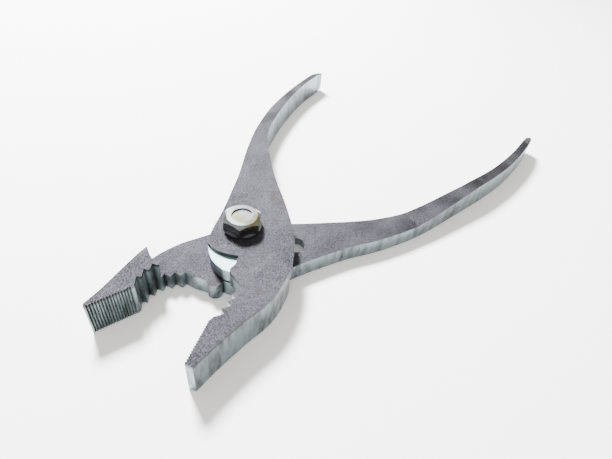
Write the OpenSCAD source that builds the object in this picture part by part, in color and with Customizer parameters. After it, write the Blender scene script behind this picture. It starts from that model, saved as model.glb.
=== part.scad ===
// Slip-joint pliers, lying on their side with the nut up, opened wide.
// Each lever is drawn closed, jaw towards -Y, and is then turned about the pivot by half the opening.

/* [Pose] */
// angle between the two jaw faces, in degrees
open_angle = 37.2; // [20:0.1:42]

/* [Levers] */
// full thickness of the jaws
jaw_t = 10.6; // [9:0.1:12]
// free gap between the two levers at the joint
lap_gap = 0.3; // [0.2:0.05:0.5]
// distance from the pivot to the line where the jaws meet
jaw_line = 5; // [4.6:0.1:5.4]
// gap left between the jaw faces when they are shut
bite_gap = 0.1; // [0.06:0.02:0.3]
// height of the upper handle at its end
upper_grip_t = 9.2; // [8:0.1:10]
// height of the lower handle at its end
lower_grip_t = 8.2; // [7:0.1:9]

/* [Teeth] */
// number of fine teeth on each flat bite
fine_count = 16; // [10:1:20]
// depth of the fine teeth
fine_depth = 0.35; // [0.2:0.05:0.5]
// depth of the pipe-grip teeth
pipe_depth = 1.5; // [1:0.1:1.8]
// number of pipe-grip teeth on the upper lever
upper_pipe_count = 4; // [3:1:5]
// number of pipe-grip teeth on the lower lever
lower_pipe_count = 6; // [4:1:7]

// depth of the upper lever's pipe-grip hollow
upper_hollow = 0.4; // [0.2:0.1:0.8]
// depth of the lower lever's pipe-grip hollow
lower_hollow = 3.2; // [2.6:0.1:3.4]

/* [Joint] */
// diameter of the pivot bolt
bolt_d = 6; // [5.6:0.1:6.2]
// radial clearance of the bolt in the lever holes
bolt_fit = 0.07; // [0.03:0.01:0.1]
// width across the two flats of the bolt
flat_w = 4.4; // [4:0.1:4.8]
// clearance of the flats in the neck of the slot, each side
neck_fit = 0.15; // [0.1:0.05:0.3]
// distance between the two holes of the slot
slot_step = 15.6; // [14:0.1:16]
// direction of the slot from the jaw line of the lower lever, in degrees
slot_angle = 38; // [34:0.5:42]
// diameter of the bolt head
head_d = 10.4; // [9:0.1:11]
// height of the bolt head
head_h = 1.9; // [1.4:0.1:2.1]
// clearance round and over the bolt head
head_fit = 0.3; // [0.2:0.05:0.5]

/* [Nut and washer] */
// width across the flats of the nut
nut_af = 10; // [9:0.1:11]
// height of the nut
nut_h = 3.7; // [3:0.1:5]
// how far the nut is turned, in degrees
nut_turn = 3.7; // [0:0.1:60]
// thickness of the washer
washer_t = 0.8; // [0.5:0.1:1.2]
// diameter of the washer
washer_d = 11; // [10:0.1:12]
// free play at each face of the washer
washer_fit = 0.05; // [0.03:0.01:0.1]

/* [Hidden] */
$fn = 64;
half_t = (jaw_t - lap_gap) / 2;
lap_z = half_t + lap_gap;
bolt_r = bolt_d / 2;
hole_r = bolt_r + bolt_fit;
washer_z = jaw_t + washer_fit;
nut_z = washer_z + washer_t + washer_fit;
nut_top = nut_z + nut_h;
steel = [0.56, 0.57, 0.59];
zinc = [0.72, 0.74, 0.76];

// point at share t of the curve from b to c, with neighbours a and d
function bend(a, b, c, d, t) =
  0.5 * (2 * b + (c - a) * t + (2 * a - 5 * b + 4 * c - d) * t * t + (3 * b - a - 3 * c + d) * t * t * t);

// smooth curve through the points p, with n steps between each two
function smooth(p, n = 3) = concat(
  [for (i = [0:len(p) - 2]) for (k = [0:n - 1])
    bend(p[max(i - 1, 0)], p[i], p[i + 1], p[min(i + 2, len(p) - 1)], k / n)],
  [p[len(p) - 1]]);

// fine teeth along x = face from y0 to y1; side is where the metal is
function fine_teeth(face, y0, y1, side) =
  [for (i = [0:fine_count - 1]) each [
    [face, y0 + (y1 - y0) * (i + 0.1) / fine_count],
    [face + side * fine_depth, y0 + (y1 - y0) * (i + 0.6) / fine_count],
    [face, y0 + (y1 - y0) * (i + 0.95) / fine_count]]];

// pipe-grip teeth on a hollow from a to b; hollow is its depth, side is where the metal is
function pipe_teeth(a, b, hollow, count, side) =
  [for (i = [0:count - 1]) each [
    pipe_point(a, b, hollow, (i + 0.25) / count, side * pipe_depth, side),
    pipe_point(a, b, hollow, (i + 0.85) / count, 0, side)]];

function pipe_point(a, b, hollow, t, depth, side) =
  [a[0] + (b[0] - a[0]) * t + side * hollow * sin(180 * t) + depth, a[1] + (b[1] - a[1]) * t];

// outline of the upper lever: jaw back and inner handle edge, outer handle edge, nose, teeth
upper_face = jaw_line + bite_gap / 2;
module upper_plan() {
  polygon(concat(
    smooth([[7.2, -44.9], [9.4, -38.6], [13.2, -29.5], [16.9, -21.5], [18.1, -13], [17.5, -5.5],
      [15.2, 2], [11.4, 9.4], [6.6, 17.4], [1.4, 25.4], [-3.6, 34.6], [-8.2, 44.6], [-11.9, 54.1],
      [-13.3, 66], [-13.5, 78], [-12.8, 91], [-11.4, 102.1], [-9.2, 111.7], [-7.4, 118]]),
    smooth([[-8.2, 119.4], [-9.8, 117.6], [-11.8, 111.6], [-14, 102.5], [-15.7, 93], [-17.1, 83],
      [-17.9, 73], [-17.7, 62], [-16.7, 51.8], [-14.4, 39.2], [-11.2, 24.7], [-9.6, 14.8],
      [-8.2, 5], [-7.6, -2.5], [-6.8, -8], [-4.8, -11.9], [-2.4, -14.4], [1, -16.1]]),
    [[3.2, -16.2], [3.6, -17.2], [8.5, -20.7]],
    pipe_teeth([7.1, -21.2], [upper_face + 0.6, -31.8], upper_hollow, upper_pipe_count, 1),
    fine_teeth(upper_face, -33, -44.3, 1),
    [[upper_face + 0.2, -44.8]]));
}

// outline of the lower lever, drawn as the mirror image of how it lies
lower_face = -(jaw_line - bite_gap / 2);
module lower_plan() {
  polygon(concat(
    smooth([[-3.9, -45.3], [-1.7, -40.6], [1.8, -34.6], [4.3, -30.2], [6.1, -26.6], [7.5, -22],
      [8.1, -16], [7.6, -10], [6.8, -3], [5.4, 3], [2.8, 9.4], [-1.4, 16.7], [-4.3, 22],
      [-7.2, 27.7], [-10.3, 33.8], [-13.4, 41], [-16, 50.1], [-17.3, 60], [-18, 72.8],
      [-18.4, 83.3], [-17.9, 96.1], [-16.4, 107], [-14.3, 117.4], [-11.8, 126.5], [-9.8, 133.6]]),
    smooth([[-10.4, 135.8], [-12.2, 133.4], [-15, 125.7], [-17.9, 115.7], [-20.4, 104], [-21.8, 93],
      [-22.6, 82], [-23.3, 68], [-23.8, 56], [-23.1, 45], [-21.4, 34.5], [-19.2, 25.8],
      [-17.7, 15.7], [-16.9, 8], [-16.4, 0], [-14.9, -6.5], [-12.2, -11.4]]),
    // half-round hollow of the wire shear
    [for (a = [60:-20:-120]) [-9.6 + 2.1 * cos(a + 180), -14.2 - 2.1 * sin(a + 180)]],
    [[-7.4, -16.7], [-5.6, -18.2]],
    pipe_teeth([-4.6, -18.9], [lower_face, -33.8], lower_hollow, lower_pipe_count, 1),
    fine_teeth(lower_face, -34.2, -45.2, 1),
    [[lower_face + 0.2, -45.6]]));
}

// block that is kept between two heights along the lever, drawn in the plane of Y and Z
module side_view(points) {
  rotate([90, 0, 90])
    linear_extrude(height = 80, center = true)
      polygon(points);
}

// the upper lever's underside is cut away over the lower one, inside lap_r and up to the handle's root
lap_r = 20.6;
module upper_lap() {
  intersection() {
    translate([0, 0, -1])
      cylinder(r = lap_r, h = lap_z + 1, $fn = 96);
    translate([-40, -40, -1])
      cube([80, 60, lap_z + 1]);
  }
  translate([0, 0, -1])
    linear_extrude(height = lap_z + 1)
      polygon([[-25, 5], [25, 5], [25, 34], [-1.2, 29.6], [-11.6, 22], [-25, 12]]);
}

// crescent-shaped ledge that is machined on the rim of the nose
ledge_r = 11.4;
ledge_drop = 1.2;
module nose_ledge() {
  translate([0, 0, jaw_t - ledge_drop])
    linear_extrude(height = ledge_drop + 1)
      difference() {
        polygon([[-9, -9.2], [-4.5, -9.6], [3.4, -11], [3.9, -14], [2.6, -18], [-9, -18]]);
        circle(r = ledge_r, $fn = 96);
      }
}

module upper_lever() {
  color(steel)
    rotate([0, 0, open_angle / 2])
      difference() {
        intersection() {
          linear_extrude(height = jaw_t)
            upper_plan();
          side_view([[-60, 0], [112, 0], [125, 2.4], [125, upper_grip_t - 2], [114, upper_grip_t],
            [60, upper_grip_t], [34, jaw_t], [-60, jaw_t]]);
        }
        upper_lap();
        nose_ledge();
        translate([0, 0, lap_z - 1])
          cylinder(r = hole_r, h = jaw_t);
      }
}

// the two round holes of the slot and the neck between them; the bolt's flats only pass the neck
module slot_cut() {
  rotate([0, 0, 90 + slot_angle]) {
    for (x = [0, slot_step])
      translate([x, 0, -1])
        cylinder(r = hole_r, h = jaw_t);
    translate([0, -flat_w / 2 - neck_fit, -1])
      cube([slot_step, flat_w + 2 * neck_fit, jaw_t]);
  }
}

// shallow track on the underside that takes the bolt head in both places
track_h = head_h + 2 * head_fit;
module head_track() {
  rotate([0, 0, 90 + slot_angle]) {
    for (x = [0, slot_step])
      translate([x, 0, -1])
        cylinder(r = head_d / 2 + head_fit, h = track_h + 1);
    translate([0, -head_d / 2 - head_fit, -1])
      cube([slot_step, head_d + 2 * head_fit, track_h + 1]);
  }
}

module lower_lever() {
  color(steel)
    rotate([0, 0, -open_angle / 2])
      mirror([1, 0, 0])
        difference() {
          intersection() {
            linear_extrude(height = jaw_t)
              lower_plan();
            side_view([[-60, 0], [128, 0], [140, 2], [140, lower_grip_t - 2], [128, lower_grip_t],
              [84, lower_grip_t], [52, half_t], [0, half_t], [0, jaw_t], [-60, jaw_t]]);
          }
          // the plate is lower than the jaw behind a slanted, rounded wall
          translate([0, 0, half_t])
            linear_extrude(height = jaw_t)
              polygon(concat([[14, 40], [14, -24.6]], smooth([[9, -25.2], [3, -26.3], [0.2, -26], [-2.6, -25.2],
                [-6.2, -23.6]]), [[-30, -18], [-30, 40]]));
          slot_cut();
          head_track();
        }
}

module pivot_bolt() {
  color(zinc)
    rotate([0, 0, 90 - open_angle / 2 - slot_angle]) {
      translate([0, 0, head_fit])
        cylinder(d = head_d, h = head_h);
      intersection() {
        translate([0, 0, head_fit])
          cylinder(r = bolt_r, h = lap_z - head_fit);
        translate([-bolt_d, -flat_w / 2, 0])
          cube([2 * bolt_d, flat_w, jaw_t]);
      }
      translate([0, 0, lap_z])
        cylinder(r = bolt_r, h = nut_top - 0.5 - lap_z);
    }
}

// the nut's corners are turned off by a wide cone
nut_flat_r = nut_af * 0.44;
nut_drop = 1.1;
module hex_nut() {
  color(zinc)
    difference() {
      intersection() {
        translate([0, 0, nut_z])
          rotate([0, 0, nut_turn])
            cylinder(d = nut_af / cos(30), h = nut_h, $fn = 6);
        rotate_extrude($fn = 96)
          polygon([[0, nut_z], [nut_af, nut_z], [nut_af, nut_top - nut_drop * 3.4],
            [nut_flat_r, nut_top], [0, nut_top]]);
      }
      translate([0, 0, nut_z - 1])
        cylinder(r = bolt_r + 0.02, h = nut_h + 2);
    }
}

module washer() {
  color(zinc)
    translate([0, 0, washer_z])
      difference() {
        cylinder(d = washer_d, h = washer_t);
        translate([0, 0, -1])
          cylinder(r = hole_r, h = washer_t + 2);
      }
}

upper_lever();
lower_lever();
pivot_bolt();
hex_nut();
washer();
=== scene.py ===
import bpy
import math
from mathutils import Matrix, Vector

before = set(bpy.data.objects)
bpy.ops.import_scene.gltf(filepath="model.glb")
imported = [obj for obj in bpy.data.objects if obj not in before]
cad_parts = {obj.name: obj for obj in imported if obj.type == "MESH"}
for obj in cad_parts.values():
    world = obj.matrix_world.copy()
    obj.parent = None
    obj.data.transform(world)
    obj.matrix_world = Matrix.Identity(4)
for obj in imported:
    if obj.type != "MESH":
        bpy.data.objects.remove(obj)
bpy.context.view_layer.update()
print("frame loaded")

# where the photograph was taken from: angles in degrees, places in metres from the pivot on the floor
viewpoint = {
    "azimuth": 30.52,
    "elevation": 42.57,
    "roll": 6.8,
    "lensMm": 26.05,
    "sensorMm": 36.0,
    "place": (0.06331, -0.07116, 0.09843),
    "nearest": 0.001,
}

# upright share of a face's normal, below which it is a side and above which it is flat
facing = {"side": 0.6, "flat": 0.9}

leverMetal = {"metallic": 0.85, "specular": 0.3, "bumpDepth": 0.00025}

# flat faces: blasted grain on the jaws, which gives way to the mottle along the handles
topGrain = {
    "dark": (0.010, 0.010, 0.012, 1.0),
    "light": (0.062, 0.060, 0.071, 1.0),
    "scale": 2600.0,
    "detail": 4.0,
    "noiseRoughness": 0.75,
    "contrastFrom": 0.40,
    "contrastTo": 0.60,
    "smoothFrom": 0.025,
    "smoothTo": 0.07,
    "jawShare": 0.75,
    "handleShare": 0.3,
    "bump": 1.0,
    "roughness": 0.42,
}

mottle = {"scale": 70.0, "detail": 3.0, "noiseRoughness": 0.6}

sideMetal = {
    "dark": (0.055, 0.065, 0.064, 1.0),
    "light": (0.23, 0.275, 0.30, 1.0),
    "scale": 420.0,
    "detail": 4.0,
    "noiseRoughness": 0.65,
    "stretch": (1.0, 1.0, 0.25),
    "contrastFrom": 0.30,
    "contrastTo": 0.58,
    "bump": 0.2,
    "roughness": 0.34,
}

stains = {
    "colour": (0.022, 0.016, 0.011, 1.0),
    "scale": 75.0,
    "detail": 5.0,
    "noiseRoughness": 0.7,
    "from": 0.57,
    "to": 0.70,
    "strength": 0.8,
}

# heights in metres between which the dark line darkens
seamLine = {"from": 0.0094, "to": 0.0101, "strength": 0.75}

# grime plus painted shade: a dark colour laid into hollows and recesses by how enclosed they are
hollowGrimeAndShade = {
    "colour": (0.018, 0.022, 0.014, 1.0),
    "reach": 0.0016,
    "samples": 8,
    "from": 0.35,
    "to": 0.85,
    "strength": 0.75,
}

machinedLedge = {
    "height": 0.0094,
    "reach": 0.0002,
    "alongY": -0.013,
    "spanY": 0.006,
    "colour": (0.42, 0.56, 0.60, 1.0),
}

zincPlate = {
    "pale": (0.30, 0.32, 0.33, 1.0),
    "gold": (0.20, 0.19, 0.11, 1.0),
    "pink": (0.24, 0.17, 0.21, 1.0),
    "scale": 160.0,
    "detail": 2.0,
    "noiseRoughness": 0.5,
    "goldFrom": 0.48,
    "goldTo": 0.62,
    "pinkFrom": 0.44,
    "pinkTo": 0.30,
    "pinkStrength": 0.8,
    "metallic": 1.0,
    "roughness": 0.2,
}

# edges sharper than this many degrees aren't shaded smooth
sharpAngle = 30.0

whiteFloor = {
    "size": 6.0,
    "height": -0.0002,
    "colour": (0.96, 0.95, 0.93, 1.0),
    "glow": (1.0, 0.985, 0.965, 1.0),
    "glowStrength": 0.25,
    "roughness": 0.6,
    "specular": 0.1,
}

softRoom = {"colour": (1.0, 0.96, 0.90, 1.0), "strength": 0.85}

keyLight = {
    "place": (-0.42, 0.22, 0.55),
    "target": (0.0, 0.02, 0.0),
    "size": 0.16,
    "power": 42.0,
    "colour": (0.96, 0.98, 1.0),
}

fillLight = {
    "place": (0.35, -0.7, 0.7),
    "target": (0.0, 0.0, 0.0),
    "size": 0.8,
    "power": 3.0,
    "colour": (0.92, 0.96, 1.0),
}


def makeMaterial(name):
    """New material with an empty node tree but for its output and one Principled shader."""
    mat = bpy.data.materials.new(name)
    mat.use_nodes = True
    tree = mat.node_tree
    tree.nodes.clear()
    output = tree.nodes.new("ShaderNodeOutputMaterial")
    shader = tree.nodes.new("ShaderNodeBsdfPrincipled")
    tree.links.new(shader.outputs["BSDF"], output.inputs["Surface"])
    return mat, tree, shader


def addNoise(tree, coordinates, settings):
    """Noise texture on the object's own coordinates, stretched along its axes where the settings say so."""
    mapping = tree.nodes.new("ShaderNodeMapping")
    mapping.inputs["Scale"].default_value = settings.get("stretch", (1.0, 1.0, 1.0))
    tree.links.new(coordinates, mapping.inputs["Vector"])
    noise = tree.nodes.new("ShaderNodeTexNoise")
    noise.inputs["Scale"].default_value = settings["scale"]
    noise.inputs["Detail"].default_value = settings["detail"]
    noise.inputs["Roughness"].default_value = settings["noiseRoughness"]
    tree.links.new(mapping.outputs["Vector"], noise.inputs["Vector"])
    return noise.outputs["Fac"]


def addRange(tree, value, low, high, toLow=0.0, toHigh=1.0):
    """Maps value from low..high to toLow..toHigh, clamped."""
    node = tree.nodes.new("ShaderNodeMapRange")
    node.inputs["From Min"].default_value = low
    node.inputs["From Max"].default_value = high
    node.inputs["To Min"].default_value = toLow
    node.inputs["To Max"].default_value = toHigh
    tree.links.new(value, node.inputs["Value"])
    return node.outputs["Result"]


def addMix(tree, share, first, second):
    """Colour mix of first and second, each a socket or a constant."""
    node = tree.nodes.new("ShaderNodeMix")
    node.data_type = "RGBA"
    sockets = [s for s in node.inputs if s.type == "RGBA"]
    for socket, value in zip(sockets, (first, second)):
        if isinstance(value, tuple):
            socket.default_value = value
        else:
            tree.links.new(value, socket)
    tree.links.new(share, node.inputs["Factor"])
    return [s for s in node.outputs if s.type == "RGBA"][0]


def addMath(tree, operation, first, second):
    """One arithmetic step on two values, each a socket or a number."""
    node = tree.nodes.new("ShaderNodeMath")
    node.operation = operation
    for socket, value in zip(node.inputs, (first, second)):
        if isinstance(value, (int, float)):
            socket.default_value = value
        else:
            tree.links.new(value, socket)
    return node.outputs["Value"]


def addNear(tree, value, centre, reach):
    """1 where value is within reach of centre, else 0."""
    near = addMath(tree, "COMPARE", value, centre)
    near.node.inputs[2].default_value = reach
    return near


def addSplit(tree, vector):
    """The X, Y and Z of a vector."""
    split = tree.nodes.new("ShaderNodeSeparateXYZ")
    tree.links.new(vector, split.inputs["Vector"])
    return split.outputs


def addTopColour(tree, coordinates, place, grain):
    """Colour of the flat faces: mostly grain on the jaws, mostly mottle on the smoother handles."""
    blotches = addNoise(tree, coordinates, mottle)
    blasted = addRange(tree, place["Y"], topGrain["smoothFrom"], topGrain["smoothTo"],
                       topGrain["jawShare"], topGrain["handleShare"])
    worn = addMath(tree, "SUBTRACT", 1.0, blasted)
    pattern = addMath(tree, "ADD", addMath(tree, "MULTIPLY", grain, blasted),
                      addMath(tree, "MULTIPLY", blotches, worn))
    lightShare = addRange(tree, pattern, topGrain["contrastFrom"], topGrain["contrastTo"])
    return addMix(tree, lightShare, topGrain["dark"], topGrain["light"])


def addSideColour(tree, coordinates):
    """Colour of the upright sides, pale with darker streaks."""
    streaks = addNoise(tree, coordinates, sideMetal)
    lightShare = addRange(tree, streaks, sideMetal["contrastFrom"], sideMetal["contrastTo"])
    return addMix(tree, lightShare, sideMetal["dark"], sideMetal["light"])


def addSeam(tree, place, flat):
    """Share of the dark line where the blasted face meets the side of a jaw."""
    under = addRange(tree, place["Z"], seamLine["from"], seamLine["to"])
    side = addMath(tree, "SUBTRACT", 1.0, flat)
    return addMath(tree, "MULTIPLY", addMath(tree, "MULTIPLY", under, side), seamLine["strength"])


def addGrimeAndShade(tree):
    """Share of the grime and painted shade in the hollows between the teeth and other recesses, strongest
    where a point is most enclosed.
    """
    hollow = tree.nodes.new("ShaderNodeAmbientOcclusion")
    hollow.samples = hollowGrimeAndShade["samples"]
    hollow.only_local = True
    hollow.inputs["Distance"].default_value = hollowGrimeAndShade["reach"]
    return addRange(tree, hollow.outputs["AO"], hollowGrimeAndShade["from"], hollowGrimeAndShade["to"], hollowGrimeAndShade["strength"], 0.0)


def addLedge(tree, place, flat):
    """Share of the machined crescent: the flat faces near its height and beside the joint."""
    level = addNear(tree, place["Z"], machinedLedge["height"], machinedLedge["reach"])
    nearJoint = addNear(tree, place["Y"], machinedLedge["alongY"], machinedLedge["spanY"])
    return addMath(tree, "MULTIPLY", addMath(tree, "MULTIPLY", level, nearJoint), flat)


def addStains(tree, coordinates):
    """Share of the dark stains, which lie over everything else."""
    smudge = addNoise(tree, coordinates, stains)
    return addMath(tree, "MULTIPLY", addRange(tree, smudge, stains["from"], stains["to"]), stains["strength"])


def makeLeverMaterial():
    """Grit-blasted grey on the flat faces, smoother pale zinc on the sides, with dark stains."""
    mat, tree, shader = makeMaterial("lever_steel")
    coordinates = tree.nodes.new("ShaderNodeTexCoord").outputs["Object"]
    place = addSplit(tree, coordinates)
    normal = addSplit(tree, tree.nodes.new("ShaderNodeNewGeometry").outputs["Normal"])
    upright = addMath(tree, "ABSOLUTE", normal["Z"], 0.0)
    flat = addRange(tree, upright, facing["side"], facing["flat"])
    grain = addNoise(tree, coordinates, topGrain)
    topColour = addTopColour(tree, coordinates, place, grain)
    colour = addMix(tree, flat, addSideColour(tree, coordinates), topColour)
    colour = addMix(tree, addSeam(tree, place, flat), colour, stains["colour"])
    # grime and painted shade darken the hollows between the teeth and the recesses
    colour = addMix(tree, addGrimeAndShade(tree), colour, hollowGrimeAndShade["colour"])
    colour = addMix(tree, addLedge(tree, place, flat), colour, machinedLedge["colour"])
    colour = addMix(tree, addStains(tree, coordinates), colour, stains["colour"])
    tree.links.new(colour, shader.inputs["Base Color"])
    shader.inputs["Metallic"].default_value = leverMetal["metallic"]
    shader.inputs["Specular IOR Level"].default_value = leverMetal["specular"]
    rough = addRange(tree, flat, 0.0, 1.0, sideMetal["roughness"], topGrain["roughness"])
    tree.links.new(rough, shader.inputs["Roughness"])
    bump = tree.nodes.new("ShaderNodeBump")
    bump.inputs["Distance"].default_value = leverMetal["bumpDepth"]
    tree.links.new(grain, bump.inputs["Height"])
    bumpStrength = addRange(tree, flat, 0.0, 1.0, sideMetal["bump"], topGrain["bump"])
    tree.links.new(bumpStrength, bump.inputs["Strength"])
    tree.links.new(bump.outputs["Normal"], shader.inputs["Normal"])
    return mat


def makeZincMaterial():
    """Bright zinc plate with a faint yellow and pink tint."""
    mat, tree, shader = makeMaterial("fastener_zinc")
    coordinates = tree.nodes.new("ShaderNodeTexCoord").outputs["Object"]
    tint = addNoise(tree, coordinates, zincPlate)
    goldShare = addRange(tree, tint, zincPlate["goldFrom"], zincPlate["goldTo"])
    pinkShare = addRange(tree, tint, zincPlate["pinkFrom"], zincPlate["pinkTo"],
                         0.0, zincPlate["pinkStrength"])
    colour = addMix(tree, goldShare, zincPlate["pale"], zincPlate["gold"])
    colour = addMix(tree, pinkShare, colour, zincPlate["pink"])
    tree.links.new(colour, shader.inputs["Base Color"])
    shader.inputs["Metallic"].default_value = zincPlate["metallic"]
    shader.inputs["Roughness"].default_value = zincPlate["roughness"]
    return mat


def dress(name, material):
    """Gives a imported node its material, and smooth shading but for its sharp edges."""
    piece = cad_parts[name]
    piece.data.materials.clear()
    piece.data.materials.append(material)
    count = len(piece.data.polygons)
    piece.data.polygons.foreach_set("use_smooth", [True] * count)
    piece.data.set_sharp_from_angle(angle=math.radians(sharpAngle))


def layFloor():
    """White plane just under the resting plane, which glows a little."""
    bpy.ops.mesh.primitive_plane_add(size=whiteFloor["size"], location=(0.0, 0.0, whiteFloor["height"]))
    floor = bpy.context.object
    floor.name = "floor"
    mat, _, shader = makeMaterial("white_floor")
    shader.inputs["Base Color"].default_value = whiteFloor["colour"]
    shader.inputs["Emission Color"].default_value = whiteFloor["glow"]
    shader.inputs["Emission Strength"].default_value = whiteFloor["glowStrength"]
    shader.inputs["Roughness"].default_value = whiteFloor["roughness"]
    shader.inputs["Specular IOR Level"].default_value = whiteFloor["specular"]
    floor.data.materials.append(mat)


def lightRoom():
    """Even warm light from all round."""
    world = bpy.data.worlds.new("softRoom")
    world.use_nodes = True
    background = world.node_tree.nodes["Background"]
    background.inputs["Color"].default_value = softRoom["colour"]
    background.inputs["Strength"].default_value = softRoom["strength"]
    bpy.context.scene.world = world


def addAreaLight(name, settings):
    """Square soft light at its place, turned to its target."""
    data = bpy.data.lights.new(name, "AREA")
    data.size = settings["size"]
    data.energy = settings["power"]
    data.color = settings["colour"]
    light = bpy.data.objects.new(name, data)
    light.location = settings["place"]
    towards = Vector(settings["target"]) - Vector(settings["place"])
    light.rotation_euler = towards.to_track_quat("-Z", "Y").to_euler()
    bpy.context.scene.collection.objects.link(light)


def placeCamera():
    """Camera at the viewpoint, turned by its azimuth, elevation and roll."""
    azimuth = math.radians(viewpoint["azimuth"])
    elevation = math.radians(viewpoint["elevation"])
    roll = math.radians(viewpoint["roll"])
    level = Vector((math.cos(azimuth), math.sin(azimuth), 0.0))
    ahead = Vector((-math.sin(azimuth) * math.cos(elevation), math.cos(azimuth) * math.cos(elevation),
                    -math.sin(elevation)))
    upright = level.cross(ahead)
    rightSide = level * math.cos(roll) + upright * math.sin(roll)
    upSide = upright * math.cos(roll) - level * math.sin(roll)
    turn = Matrix((rightSide, upSide, -ahead)).transposed()
    data = bpy.data.cameras.new("photoCamera")
    data.sensor_width = viewpoint["sensorMm"]
    data.lens = viewpoint["lensMm"]
    data.clip_start = viewpoint["nearest"]
    camera = bpy.data.objects.new("photoCamera", data)
    camera.matrix_world = Matrix.Translation(Vector(viewpoint["place"])) @ turn.to_4x4()
    bpy.context.scene.collection.objects.link(camera)
    bpy.context.scene.camera = camera


leverMaterial = makeLeverMaterial()
zincMaterial = makeZincMaterial()
for name in ("upper_lever", "lower_lever"):
    dress(name, leverMaterial)
for name in ("hex_nut", "pivot_bolt", "washer"):
    dress(name, zincMaterial)
print("pieces dressed")

layFloor()
lightRoom()
addAreaLight("keyLight", keyLight)
addAreaLight("fillLight", fillLight)
print("floor and light placed")

placeCamera()
print("camera placed")
